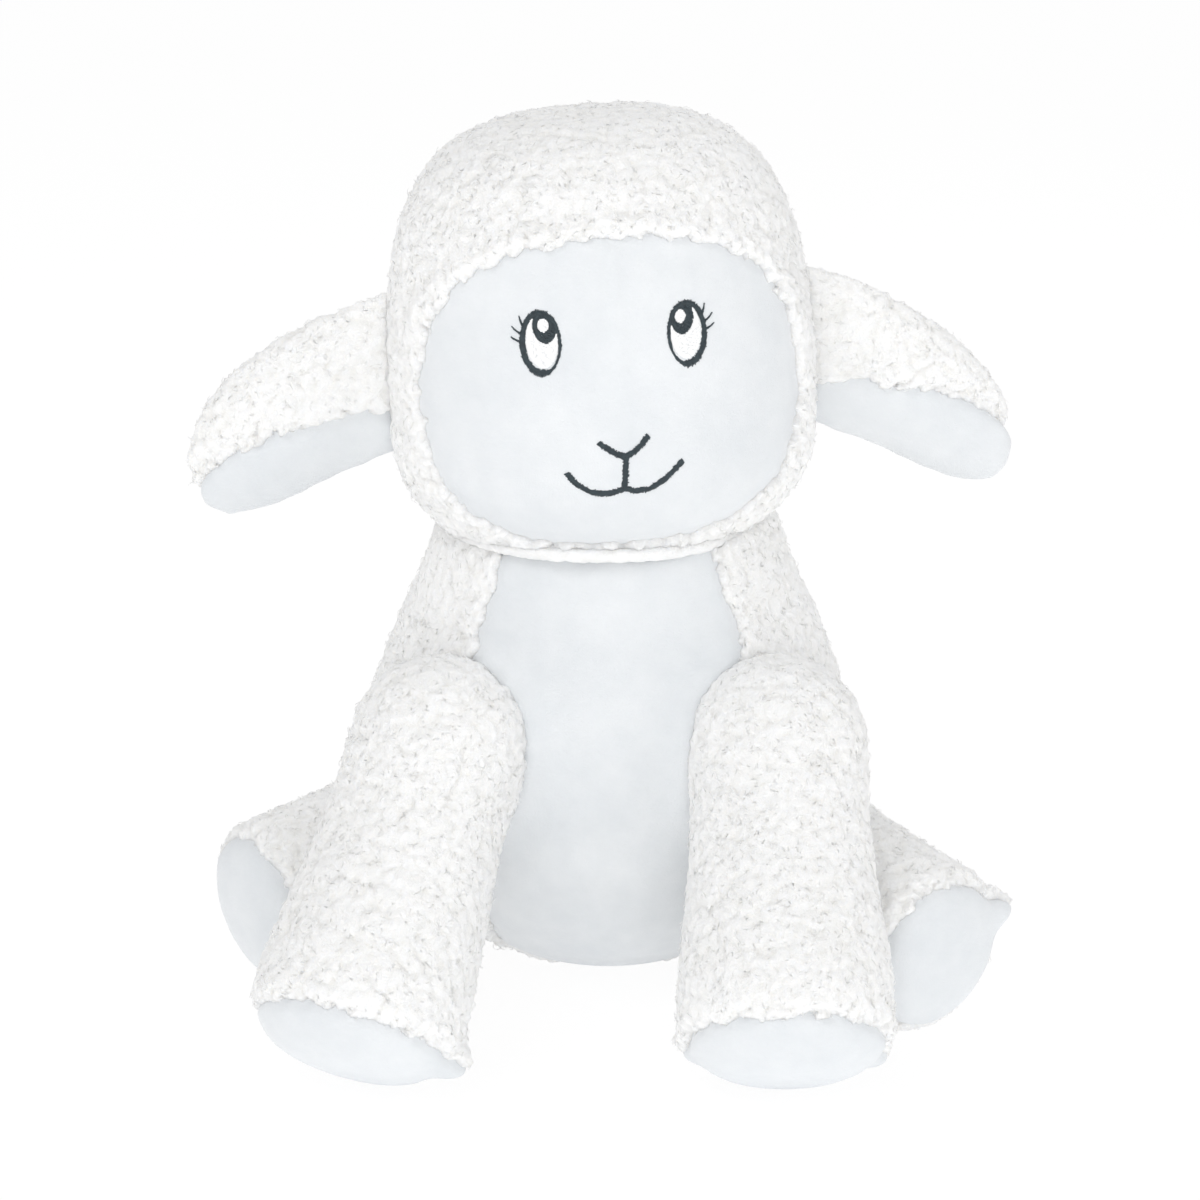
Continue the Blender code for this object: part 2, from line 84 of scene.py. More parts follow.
def new_piece(name, mesh):
    piece = bpy.data.objects.new(name, mesh)
    bpy.context.scene.collection.objects.link(piece)
    return piece


def copy_solids(name, *nodes):
    """One merged mesh of copies of these solids."""
    copies = [new_piece(name, frame["nodes"][node].data.copy()) for node in nodes]
    only(*copies)
    if len(copies) > 1:
        bpy.ops.object.join()
    piece = bpy.context.active_object
    piece.data.materials.clear()
    in_edit(piece)
    bpy.ops.mesh.select_all(action="SELECT")
    bpy.ops.mesh.remove_doubles(threshold=1e-5)
    bpy.ops.object.mode_set(mode="OBJECT")
    piece.name = piece.data.name = name
    return piece


# %% Read and write points
def points_of(piece):
    found = np.empty(len(piece.data.vertices) * 3)
    piece.data.vertices.foreach_get("co", found)
    return found.reshape(-1, 3)


def normals_of(piece):
    found = np.empty(len(piece.data.vertices) * 3)
    piece.data.vertices.foreach_get("normal", found)
    return found.reshape(-1, 3)


def set_points(piece, points):
    piece.data.vertices.foreach_set("co", np.asarray(points, float).ravel())
    piece.data.update()


def apply_modifiers(piece):
    only(piece)
    for step in list(piece.modifiers):
        bpy.ops.object.modifier_apply(modifier=step.name)


def smooth(piece, times, factor=0.5):
    step = piece.modifiers.new("smooth", "SMOOTH")
    step.factor, step.iterations = factor, times
    apply_modifiers(piece)


# %% Remesh to even squares
def remesh(piece, size):
    """Even squares all over, and only the outer surface."""
    only(piece)
    piece.data.remesh_voxel_size = size
    bpy.ops.object.voxel_remesh()
    outermost = int(points_of(piece)[:, 0].argmax())
    in_edit(piece)
    bpy.ops.object.mode_set(mode="OBJECT")
    piece.data.vertices[outermost].select = True
    bpy.ops.object.mode_set(mode="EDIT")
    bpy.ops.mesh.select_linked()
    bpy.ops.mesh.select_all(action="INVERT")
    bpy.ops.mesh.delete(type="VERT")
    bpy.ops.object.mode_set(mode="OBJECT")


# %% [markdown]
# ## Stuffing
# A stuffed skin is cloth with pressure inside. A short cloth simulation on a coarse mesh swells it between
# its seams, whose points are pinned. How far a point may go is capped, so the member keeps its size.

# %% Puff a skin up from inside
coarse_size = 0.0033
fine_size = 0.00085
seam_band = 0.0025
cloth_frames = 20


def puff(piece, pinned, cap, pressure=4.0):
    """pinned tells, from the points, which of them the seams hold."""
    smooth(piece, 3)
    start = points_of(piece)
    held = piece.vertex_groups.new(name="seams")
    held.add([int(i) for i in np.nonzero(pinned(start))[0]], 1.0, "REPLACE")
    cloth = piece.modifiers.new("cloth", "CLOTH").settings
    cloth.use_pressure = True
    cloth.uniform_pressure_force = pressure
    cloth.effector_weights.gravity = 0
    cloth.vertex_group_mass = "seams"
    cloth.quality = 4
    for moment in range(1, cloth_frames + 1):
        bpy.context.scene.frame_set(moment)
    swollen = piece.evaluated_get(bpy.context.evaluated_depsgraph_get())
    end = np.empty(len(start) * 3)
    swollen.data.vertices.foreach_get("co", end)
    moved = end.reshape(-1, 3) - start
    far = np.linalg.norm(moved, axis=1, keepdims=True)
    piece.modifiers.clear()
    piece.vertex_groups.clear()
    bpy.context.scene.frame_set(1)
    set_points(piece, start + moved * np.minimum(1, cap / np.maximum(far, 1e-9)))
    print(piece.name, "swells by up to", round(float(np.minimum(far, cap).max()) * 1000, 2), "mm")


def stuffed_form(name, nodes, pinned, cap=0.0018):
    """A smooth plump form over these solids, in squares of about a millimetre."""
    piece = copy_solids(name, *nodes)
    remesh(piece, coarse_size)
    puff(piece, pinned, cap)
    divide = piece.modifiers.new("divide", "SUBSURF")
    divide.levels = divide.render_levels = 1
    apply_modifiers(piece)
    remesh(piece, fine_size)
    smooth(piece, 6)
    return piece


# %% [markdown]
# ## Frames of the members
# The head and the limbs each lie along axes of their own. Their seams are easy to state in those axes, so a
# small matrix takes points there.

# %% Axes of head, legs and ears
joints = {joint["name"]: joint for joint in frame["record"]["behaviour"]["joints"]}


def axes_at(point, turn):
    return Matrix.Translation(Vector(point)) @ turn


head_turned, head_rolled = math.radians(5), math.radians(-3)
head_axes = axes_at(
    joints["head_turn"]["pos_m"],
    Matrix.Rotation(head_turned, 4, "Z") @ Matrix.Rotation(head_rolled, 4, "Y"),
)


def to_local(axes, points):
    inverse = np.array(axes.inverted())
    return points @ inverse[:3, :3].T + inverse[:3, 3]


def axes_along(point, level, along):
    """Axes at a root: Z along the limb and X level."""
    level, along = Vector(level), Vector(along).normalized()
    side = along.cross(level)
    turn = Matrix((level, side, along)).transposed().to_4x4()
    return axes_at(point, turn)


# Each leg's way from its root to its foot, and how far along it the sole's seam lies.
leg_ways = {
    "front_leg_right": (-0.2656, -0.5696, -0.7778), "front_leg_left": (0.0110, -0.6284, -0.7778),
    "hind_leg_right": (-0.8020, -0.5827, -0.1314), "hind_leg_left": (0.6103, -0.7812, -0.1314),
}
leg_seams = {"front": 0.0758, "hind": 0.0540}
leg_axes = {}
for name, way in leg_ways.items():
    joint = joints[name + ("_raise" if "front" in name else "_splay")]
    level = Vector((0, 0, 1)).cross(Vector(way)).normalized() * -1
    leg_axes[name] = axes_along(joint["pos_m"], level, way)

# %% [markdown]
# ## Camera, floor and light
# The photograph looks from straight in front, a little above, through a long lens, on a white ground. Big
# soft lamps at a plain level keep white cloth just below pure white, so that its curls still show.

# %% Camera
camera = bpy.data.objects.new("camera", bpy.data.cameras.new("camera"))
bpy.context.scene.collection.objects.link(camera)
camera_rise = math.radians(17)
camera_aim = Vector((-0.0022, 0, 0.100))
camera_way = Vector((0, -math.cos(camera_rise), math.sin(camera_rise)))
camera_distance = 0.85
camera.location = camera_aim + camera_way * camera_distance
camera.rotation_euler = (math.pi / 2 - camera_rise, 0, 0)
camera.data.lens = 95.6
camera.data.sensor_width = 36
camera.data.clip_start = 0.01
bpy.context.scene.camera = camera


# %% Shader maths as plain sums
class Term:
    """A shader value that can be used in sums."""

    def __init__(self, finish, socket):
        self.finish, self.socket = finish, socket

    def sum(self, operation, first, second):
        return self.finish.node("ShaderNodeMath", {"operation": operation}, {0: first, 1: second})

    def __add__(self, other):
        return self.sum("ADD", self, other)

    def __sub__(self, other):
        return self.sum("SUBTRACT", self, other)

    def __rsub__(self, other):
        return self.sum("SUBTRACT", other, self)

    def __mul__(self, other):
        return self.sum("MULTIPLY", self, other)

    __radd__ = __add__
    __rmul__ = __mul__


class Finish:
    """A material under construction."""

    def __init__(self, name, roughness, **constants):
        self.material = bpy.data.materials.new(name)
        self.material.use_nodes = True
        self.tree = self.material.node_tree
        self.shader = self.tree.nodes["Principled BSDF"]
        self.shader.inputs["Roughness"].default_value = roughness
        for key, value in constants.items():
            self.shader.inputs[key.replace("_", " ").title()].default_value = value

    def node(self, kind, settings, inputs, out=0):
        made = self.tree.nodes.new(kind)
        for key, value in settings.items():
            setattr(made, key, value)
        for key, value in inputs.items():
            if isinstance(value, Term):
                self.tree.links.new(value.socket, made.inputs[key])
            else:
                made.inputs[key].default_value = value
        return Term(self, made.outputs[out])

    def place(self):
        return self.node("ShaderNodeTexCoord", {}, {}, out="Object")

    def grain(self, scale, detail=2.0, roughness=0.5):
        return self.node("ShaderNodeTexNoise", {}, {
            "Vector": self.place(), "Scale": scale, "Detail": detail, "Roughness": roughness})

    def between(self, low, high, part):
        """The colour from low to high, where the sockets 6 and 7 are a Mix node's two colours."""
        ends = {0: part, 6: (*low, 1), 7: (*high, 1)}
        return self.node("ShaderNodeMix", {"data_type": "RGBA"}, ends, out=2)

    def colour(self, term):
        self.tree.links.new(term.socket, self.shader.inputs["Base Color"])

    def bump(self, height, distance, strength=1.0):
        made = self.node("ShaderNodeBump", {}, {"Height": height, "Distance": distance, "Strength": strength})
        self.tree.links.new(made.socket, self.shader.inputs["Normal"])


# %% Floor and lamps
white = (1, 1, 1, 1)
floor_seen_white = 0.88
floor_finish = Finish("white_ground", 0.9)
floor_finish.shader.inputs["Base Color"].default_value = (0.92, 0.92, 0.92, 1)
floor_finish.shader.inputs["Emission Color"].default_value = white
floor_finish.shader.inputs["Emission Strength"].default_value = 0.31
white_light = floor_finish.tree.nodes.new("ShaderNodeEmission")
ground_mix = floor_finish.tree.nodes.new("ShaderNodeMixShader")
seen = floor_finish.node("ShaderNodeLightPath", {}, {}, out="Is Camera Ray") * floor_seen_white
floor_finish.tree.links.new(seen.socket, ground_mix.inputs[0])
floor_finish.tree.links.new(floor_finish.shader.outputs[0], ground_mix.inputs[1])
floor_finish.tree.links.new(white_light.outputs[0], ground_mix.inputs[2])
floor_output = floor_finish.tree.nodes["Material Output"]
floor_finish.tree.links.new(ground_mix.outputs[0], floor_output.inputs[0])
bpy.ops.object.select_all(action="DESELECT")
bpy.ops.mesh.primitive_plane_add(size=8, location=(0, 0, -0.0002))
ground = bpy.context.active_object
ground.name = "ground"
ground.data.materials.append(floor_finish.material)

world = bpy.data.worlds.new("studio")
bpy.context.scene.world = world
world.use_nodes = True
sky = world.node_tree
soft_sky = sky.nodes["Background"]
soft_sky.inputs["Color"].default_value = white
soft_sky.inputs["Strength"].default_value = 0.64
white_sky = sky.nodes.new("ShaderNodeBackground")
white_sky.inputs["Color"].default_value = white
sky_mix = sky.nodes.new("ShaderNodeMixShader")
sky_path = sky.nodes.new("ShaderNodeLightPath")
sky.links.new(sky_path.outputs["Is Camera Ray"], sky_mix.inputs[0])
sky.links.new(soft_sky.outputs[0], sky_mix.inputs[1])
sky.links.new(white_sky.outputs[0], sky_mix.inputs[2])
sky.links.new(sky_mix.outputs[0], sky.nodes["World Output"].inputs[0])


def lamp(name, place, power, size):
    """A square lamp that looks at the toy's middle, with its power in watts."""
    light = bpy.data.lights.new(name, "AREA")
    light.energy, light.size = power, size
    holder = bpy.data.objects.new(name, light)
    bpy.context.scene.collection.objects.link(holder)
    holder.location = place
    holder.rotation_euler = (Vector((0, 0, 0.11)) - Vector(place)).to_track_quat("-Z", "Y").to_euler()


lamp("key", (-0.45, -0.65, 1.15), 3.6, 0.6)
lamp("front", (0.05, -1.05, 0.07), 2.8, 0.5)
lamp("fill", (0.95, -0.45, 0.45), 1.2, 0.7)
lamp("back", (0.2, 0.8, 0.9), 1.6, 0.6)

# %% [markdown]
# ## Cloths and threads
# The fleece is a warm white whose curls are real relief, so its material only paints a little shade into the
# hollows and adds fibres. The short pile is cooler and smoother. Thread is dark slate or white, with a soft
# shine.

# %% Fleece
fleece = Finish("curly_fleece", 0.95, sheen_weight=0.3, sheen_roughness=0.6, subsurface_weight=0.8,
                subsurface_scale=0.0025)
fleece.shader.inputs["Subsurface Radius"].default_value = (1, 0.97, 0.92)
# Painted shade: the fleece is darker where the curls are low, in the hollows, and its tone also varies at
# random in patches.
curl = fleece.node("ShaderNodeAttribute", {"attribute_name": "curl"}, {}, out="Fac")
patches = fleece.grain(120.0)
fleece.colour(fleece.between((0.89, 0.886, 0.872), (0.968, 0.967, 0.958), curl * 0.7 + patches * 0.3 + 0.25))
fleece.bump(fleece.grain(1500.0, 3.0, 0.6) + fleece.grain(420.0, 2.0), 0.0006, 0.7)

# %% Loose wool lets light through
loose_wool = Finish("loose_wool", 0.9, sheen_weight=0.4, subsurface_weight=1.0, subsurface_scale=0.003)
loose_wool.shader.inputs["Base Color"].default_value = (0.975, 0.973, 0.962, 1)
loose_wool.shader.inputs["Subsurface Radius"].default_value = (1, 1, 1)

# %% Short pile
pile = Finish("short_pile", 0.85, sheen_weight=0.35, sheen_roughness=0.4)
shading = pile.grain(38.0, 2.0) * 1.3 + pile.grain(160.0, 3.0) * 0.7 - 0.5
pile.colour(pile.between((0.705, 0.732, 0.758), (0.805, 0.823, 0.840), shading))
pile.bump(pile.grain(2200.0, 2.0) + pile.grain(300.0, 2.0), 0.00025, 0.6)

# %% Thread
dark_thread = Finish("dark_thread", 0.42)
dark_tone = dark_thread.grain(900.0)
dark_thread.colour(dark_thread.between((0.013, 0.020, 0.026), (0.050, 0.075, 0.088), dark_tone))
dark_thread.bump(dark_thread.grain(4000.0), 0.0001, 0.5)
white_thread = Finish("white_thread", 0.45)
white_tone = white_thread.grain(900.0)
white_thread.colour(white_thread.between((0.92, 0.93, 0.94), (0.98, 0.98, 0.98), white_tone))
white_thread.bump(white_thread.grain(4000.0), 0.0001, 0.3)

# %% [markdown]
# ## Curls
# Sherpa fleece is a carpet of small curled clumps. Here each point of the fine mesh moves out by a cell
# noise whose cells are about 3 mm wide, warped so that no two look alike. The height is kept as an
# attribute, for the shade painted into the hollows.

# %% Raise curls
curl_width = 0.0030
curl_height = 0.0009
warp_width, warp_reach = 0.0048, 0.0020
drift_width = 0.012
# Without a seed the vector noise starts from the clock, and the curls would lie elsewhere each time.
noise.seed_set(4)


def curls_at(point):
    """Round clumps with narrow valleys, each with smaller ones on it."""
    warped = point + noise.noise_vector(point / warp_width) * warp_reach
    lump = 1 - (noise.voronoi(warped / curl_width)[0][0] / 0.66) ** 2
    small = 1 - (noise.voronoi(warped / (curl_width * 0.5))[0][0] / 0.6) ** 2
    return lump * 0.62 + small * 0.26 + noise.noise(point / drift_width) * 0.35


def raise_curls(piece, amount, lift=0.0):
    """amount is how much of the curls each point gets, and lift how far it moves besides."""
    at = points_of(piece)
    height = np.array([curls_at(Vector(p)) for p in at])
    set_points(piece, at + normals_of(piece) * (height * amount * curl_height + lift)[:, None])
    # The curl height is kept for the fleece's painted shade in the hollows.
    tone = piece.data.attributes.new("curl", "FLOAT", "POINT")
    tone.data.foreach_set("value", np.clip(height, -0.4, 1).astype(np.float32))


# %% Loose wool
# Shares of a strand's length, and its radius there.
strand_stations = [(0.0, 0.00014), (0.35, 0.00013), (0.7, 0.00010), (1.0, 0.00003)]
strand_lengths = (0.0011, 0.0024)
strand_bow = 0.0008
strand_root = 0.0003
strand_lift_share = 0.32
strands_per_point = 0.085
ground_clearance = 0.003


def wool(name, skin, covered, body):
    """Short curved strands that stand out of the curls, about 16 on each square centimetre."""
    source = np.random.default_rng(3)
    spots = np.nonzero(covered)[0]
    count = int(len(spots) * strands_per_point / (1))
    chosen = source.choice(spots, count, replace=False)
    up = normals_of(skin)[chosen]
    base = points_of(skin)[chosen] - up * strand_root
    way = source.normal(size=base.shape) + (0, 0, -0.5)
    way -= up * (way * up).sum(1)[:, None]
    way /= np.linalg.norm(way, axis=1)[:, None]
    side = np.cross(up, way)
    length = source.uniform(*strand_lengths, count)[:, None]
    bow = source.uniform(-strand_bow, strand_bow, count)[:, None]
    corners = []
    for along, radius in strand_stations:
        centre = base + way * length * along
        centre = centre + up * length * strand_lift_share * math.sin(along * 2.5)
        centre = centre + side * bow * math.sin(along * 3.0)
        for corner in range(3):
            turn = math.tau * corner / 3
            corners.append(centre + (side * math.cos(turn) + up * math.sin(turn)) * radius)
    points = np.stack(corners, axis=1).reshape(-1, 3)
    pattern = [
        (ring * 3 + a, ring * 3 + (a + 1) % 3, ring * 3 + 3 + (a + 1) % 3, ring * 3 + 3 + a)
        for ring in range(len(strand_stations) - 1) for a in range(3)
    ]
    starts = np.arange(count)[:, None, None] * len(corners)
    faces = (np.array(pattern)[None] + starts).reshape(-1, 4)
    mesh = bpy.data.meshes.new(name)
    mesh.from_pydata(points.tolist(), [], faces.tolist())
    finish_piece(new_piece(name, mesh), loose_wool, body, "fleece")


# %% Cut a panel out of a form
panel_margin = 0.0009


def ramp(values, low, high):
    """0 below low and 1 above high, with a soft step between."""
    part = np.clip((values - low) / (high - low), 0, 1)
    return part * part * (3 - 2 * part)


def panel_of(form, name, inside, thickness=0.0009, tuck=0.0011):
    """The part of the form where inside is above zero, as a patch with its edge tucked in.

    inside is the distance from the panel's seam, in metres, for each point.
    """
    piece = new_piece(name, form.data.copy())
    kept = inside > -panel_margin
    in_edit(piece)
    bpy.ops.object.mode_set(mode="OBJECT")
    for index in np.nonzero(~kept)[0]:
        piece.data.vertices[int(index)].select = True
    bpy.ops.object.mode_set(mode="EDIT")
    bpy.ops.mesh.delete(type="VERT")
    bpy.ops.object.mode_set(mode="OBJECT")
    depth = -tuck * (1 - ramp(inside[kept], -0.0005, 0.0035))
    set_points(piece, points_of(piece) + normals_of(piece) * depth[:, None])
    wall = piece.modifiers.new("wall", "SOLIDIFY")
    wall.thickness, wall.offset = thickness, -1
    apply_modifiers(piece)
    return piece


seam_waver = 0.0019
seam_rim_back, seam_rim_reach = 0.0020, 0.0026


def fleece_round(form, inside, edge=0.0008, over=0.0008, under=0.0016):
    """Curls over all of the form but the panel, under which it sinks.

    The rim swells and hangs over the seam, by a width that wavers as tufts do.
    """
    waver = np.array([noise.noise(Vector(p) / 0.0042) + noise.noise(Vector(p) / 0.0017) * 0.6
                      for p in points_of(form)])
    inside = inside - over - waver * seam_waver
    bare = ramp(inside, -0.0004, 0.0006)
    rim = np.exp(-((inside + seam_rim_back) / seam_rim_reach) ** 2)
    raise_curls(form, (1 - bare) * (1 + rim * 0.4), rim * edge * (1 - bare) - bare * under)
    return bare < 0.3


def finish_piece(piece, finish, body, slot, *nodes, fill=None):
    piece.data.materials.clear()
    piece.data.materials.append(finish.material)
    only(piece)
    bpy.ops.object.shade_smooth()
    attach(piece, body)
    if nodes:
        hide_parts(*nodes)
    print(piece.name, len(piece.data.polygons), "faces")
    return piece


# %% [markdown]
# ## Trunk
# The trunk is a pear of fleece with a smooth panel down its front. Both come from one puffed form: the fleece
# keeps it all and the panel is a patch over its window. The belly swells a little toward the front legs.

# %% Trunk and belly
# Half widths of the belly's panel at these heights, and its lowest and rearmost ends.
belly_rows = [0.0062, 0.0112, 0.0248, 0.0446, 0.0682, 0.0893, 0.1042, 0.1166, 0.1265, 0.1488]
belly_halves = [0.0262, 0.0300, 0.0338, 0.0359, 0.0370, 0.0363, 0.0340, 0.0296, 0.0274, 0.0266]
belly_end = -0.0030
belly_rear = -0.0100
seat_row = 0.001
neck_row = 0.117
rim_rise = 0.0046
rim_rows = (0.104, 0.118)
leg_fillet = 0.0036
leg_fillet_reach = 0.0048


def inside_belly(at):
    side = np.interp(at[:, 2], belly_rows, belly_halves) - np.abs(at[:, 0])
    low = at[:, 2] - belly_end
    front = belly_rear - at[:, 1]
    return np.minimum(np.minimum(side, low), front)


def held_by_trunk_seams(at):
    return (np.abs(inside_belly(at)) < seam_band) | (at[:, 2] < seat_row) | (at[:, 2] > neck_row)


trunk = stuffed_form("trunk", ["body_fleece", "belly_panel", "body_filling"], held_by_trunk_seams)
at = points_of(trunk)
at[:, 2] += rim_rise * ramp(at[:, 2], *rim_rows)
for side in ("right", "left"):
    skin = frame["nodes"][f"front_leg_{side}_fleece"].data
    skin_points = [v.co for v in skin.vertices]
    leg_surface = BVHTree.FromPolygons(skin_points, [tuple(f.vertices) for f in skin.polygons])
    gap = np.array([leg_surface.find_nearest(Vector(p))[3] for p in at])
    fillet = leg_fillet * np.exp(-(gap / leg_fillet_reach) ** 2) * (at[:, 1] < belly_rear)
    at += normals_of(trunk) * fillet[:, None]
set_points(trunk, at)
belly_inside = inside_belly(at)
belly = panel_of(trunk, "belly", belly_inside)
woolly = fleece_round(trunk, belly_inside)
at = points_of(trunk)
at[:, 2] = np.maximum(at[:, 2], 0)
set_points(trunk, at)
wool("trunk_wool", trunk, woolly & (at[:, 2] > ground_clearance), "body")
held_in_trunk = ["body_fleece", "body_filling", "pellet_pouch", "pellets"]
finish_piece(trunk, fleece, "body", "fleece", *held_in_trunk, fill=0.9)
finish_piece(belly, pile, "body", "short_pile", "belly_panel", fill=0.9)

# %% [markdown]
# ## Head
# The hood is fleece and the face is short pile. A muzzle swells round the nose, and a soft ridge runs from
# the hood's edge down between the eyes.

# %% Hood and face
face_halves = (0.0490, 0.0395)
face_low_half = 0.0412
muzzle_place, muzzle_halves, muzzle_rise = (0.001, -0.020), (0.022, 0.016), 0.0016
ridge_half, ridge_rise = 0.0035, 0.0013


def inside_face(at):
    local = to_local(head_axes, at)
    low = ramp(-local[:, 2], -0.005, 0.020)
    power = 2.35 + low * 0.45
    half_height = face_halves[1] + (face_low_half - face_halves[1]) * low
    reach = (np.abs(local[:, 0] / face_halves[0]) ** power
             + np.abs(local[:, 2] / half_height) ** power) ** (1 / power)
    return np.where(local[:, 1] < -0.010, (1 - reach) * 0.042, -0.02)


head_form = stuffed_form(
    "hood", ["head_fleece", "face_panel", "head_filling"],
    lambda at: np.abs(inside_face(at)) < seam_band,
)
at = points_of(head_form)
local = to_local(head_axes, at)
face_inside = inside_face(at)
from_muzzle = (local[:, [0, 2]] - muzzle_place) / muzzle_halves
muzzle = np.exp(-from_muzzle[:, 0] ** 2 - from_muzzle[:, 1] ** 2)
ridge = np.exp(-(local[:, 0] / ridge_half) ** 2) * ramp(local[:, 2], -0.008, 0.012)
swell = (muzzle * muzzle_rise + ridge * ridge_rise) * ramp(face_inside, 0, 0.006)
set_points(head_form, at + normals_of(head_form) * swell[:, None])
face = panel_of(head_form, "face", face_inside)
face_surface = BVHTree.FromPolygons(
    [Vector(p) for p in to_local(head_axes, points_of(face))],
    [tuple(f.vertices) for f in face.data.polygons],
)
crown_part = ramp(local[:, 2], -0.015, 0.020)
woolly = fleece_round(
    head_form, face_inside, edge=0.0005 + crown_part * 0.0010, over=0.0004 + crown_part * 0.0012,
)
wool("hood_wool", head_form, woolly, "head")
finish_piece(head_form, fleece, "head", "fleece", "head_fleece", "head_filling", fill=0.95)
finish_piece(face, pile, "head", "short_pile", "face_panel", fill=0.95)

# %% [markdown]
# ## Satin stitch
# An embroidery machine lays threads side by side across a line. Each thread here is one low-sided bar that
# bows up in the middle and dives into the cloth at its ends. The bars vary a little, which gives the
# ragged edge.

# %% Lay threads on the face
thread_width = 0.00040
thread_step = 0.00031
# Along a bar: the share of its length, of its thickness, and how far it rises over the cloth.
bar_rings = [
    (-0.5, 0.40, -0.5), (-0.36, 0.90, 0.35), (0.0, 1.0, 0.75), (0.36, 0.90, 0.35), (0.5, 0.40, -0.5),
]
bar_sides = 5
chance = random.Random(5)


def on_face(x, z):
    """The point of the face in front of x and z, in the head's axes, and its normal."""
    hit, normal = face_surface.ray_cast(Vector((x, -0.2, z)), Vector((0, 1, 0)))[:2]
    return (hit, normal) if hit else (Vector((x, -0.045, z)), Vector((0, -1, 0)))


def bar(first, second, points, faces):
    """Adds one thread from first to second, each a pair of x and z."""
    start = len(points)
    middle = (Vector(first) + Vector(second)) / 2
    base, normal = on_face(*middle)
    span = Vector(second) - Vector(first)
    along = Vector((span.x, 0, span.y))
    along = along - normal * along.dot(normal)
    side = normal.cross(along).normalized()
    for share, fat, rise in bar_rings:
        spot, facing = on_face(middle.x + span.x * share, middle.y + span.y * share)
        centre = spot + facing * thread_width * (rise * 0.6)
        for corner in range(bar_sides):
            turn = math.tau * corner / bar_sides
            out = side * math.cos(turn) + facing * math.sin(turn) * 0.8
            points.append(centre + out * thread_width / 2 * fat)
    for ring in range(len(bar_rings) - 1):
        for corner in range(bar_sides):
            a = start + ring * bar_sides + corner
            b = start + ring * bar_sides + (corner + 1) % bar_sides
            faces.append((a, b, b + bar_sides, a + bar_sides))
    faces.append(tuple(start + corner for corner in reversed(range(bar_sides))))
    last = start + (len(bar_rings) - 1) * bar_sides
    faces.append(tuple(last + corner for corner in range(bar_sides)))


def embroider(name, bars, finish, slot, node):
    """bars are pairs of ends in x and z, laid as one piece that rides on the head."""
    points, faces = [], []
    for first, second in bars:
        bar(first, second, points, faces)
    mesh = bpy.data.meshes.new(name)
    mesh.from_pydata([head_axes @ p for p in points], [], faces)
    piece = new_piece(name, mesh)
    in_edit(piece)
    bpy.ops.mesh.select_all(action="SELECT")
    bpy.ops.mesh.normals_make_consistent(inside=False)
    bpy.ops.object.mode_set(mode="OBJECT")
    return finish_piece(piece, finish, "head", slot, node)


# %% Threads across a line, and rows that fill a shape
def even_path(path):
    """Points one thread apart along a path."""
    path = np.array(path, float)
    lengths = np.r_[0, np.cumsum(np.linalg.norm(np.diff(path, axis=0), axis=1))]
    marks = np.linspace(0, lengths[-1], max(int(lengths[-1] / thread_step), 2))
    return np.stack([np.interp(marks, lengths, path[:, i]) for i in (0, 1)], axis=1)


def across(path, width, slant=0.22, rough=0.20):
    """Bars laid across a path. width is a number or a function of the share along it."""
    line = even_path(path)
    ways = np.gradient(line, axis=0)
    bars = []
    for index, (spot, way) in enumerate(zip(line, ways)):
        share = index / (len(line) - 1)
        wide = width(share) if callable(width) else width
        way = way / max(np.linalg.norm(way), 1e-9)
        side = np.array((-way[1], way[0])) + way * slant
        grown = wide / 2 * (1 + chance.uniform(-rough, rough))
        slip = side * wide * chance.uniform(-rough, rough) / 3
        bars.append((tuple(spot - side * grown + slip), tuple(spot + side * grown + slip)))
    return bars


row_look_step = 0.00012
row_gap = 0.0002
thread_overhang = 0.00018


def rows(inside, low, high, tilt=0.12, longest=0.0026):
    """Bars that fill a shape: level rows, each broken into threads of a few millimetres."""
    bars = []
    for level in np.arange(low[1], high[1], thread_step):
        marks = np.arange(low[0], high[0], row_look_step)
        hits = [x for x in marks if inside(x, level + (x - low[0]) * tilt)]
        while hits:
            run = [hits.pop(0)]
            reach = longest * chance.uniform(0.45, 1)
            while hits and hits[0] - run[-1] < row_gap and hits[0] - run[0] < reach:
                run.append(hits.pop(0))
            ends = (run[0] - thread_overhang, run[-1] + thread_overhang)
            if run[-1] > run[0]:
                bars.append(tuple((x, level + (x - low[0]) * tilt) for x in ends))
    return bars


# %% Eyes
eye_spots = {"right": (-0.0179, 0.0136), "left": (0.0179, 0.0136)}
eye_size = (0.0103, 0.0162)
eye_line = 0.0013
ring_shares = (0, 0.10, 0.25, 0.40, 0.50, 0.60, 0.75, 0.87, 0.94, 1)
ring_widths = (0.0021, 0.0020, 0.0016, 0.0016, 0.00195, 0.0015, 0.00105, 0.00065, 0.0009, 0.0021)
eyeball_inset = (0.0011, 0.0018)
eyeball_shift = (0.0002, 0.0004)
pupil_size = (0.0059, 0.0084)
pupil_shift = (0.0011, 0.0042)
glint_size = (0.0028, 0.0033)
glint_shift = (-0.0004, 0.0002)
lash_places_deg = (2, 17, 31)
lash_leans_deg = (26, 38, 70)
lash_lengths = (0.0028, 0.0030, 0.0029)


def oval_point(centre, size, turn):
    return centre[0] + size[0] / 2 * math.cos(turn), centre[1] + size[1] / 2 * math.sin(turn)


def in_oval(centre, size):
    return lambda x, z: ((x - centre[0]) / size[0] * 2) ** 2 + ((z - centre[1]) / size[1] * 2) ** 2 < 1


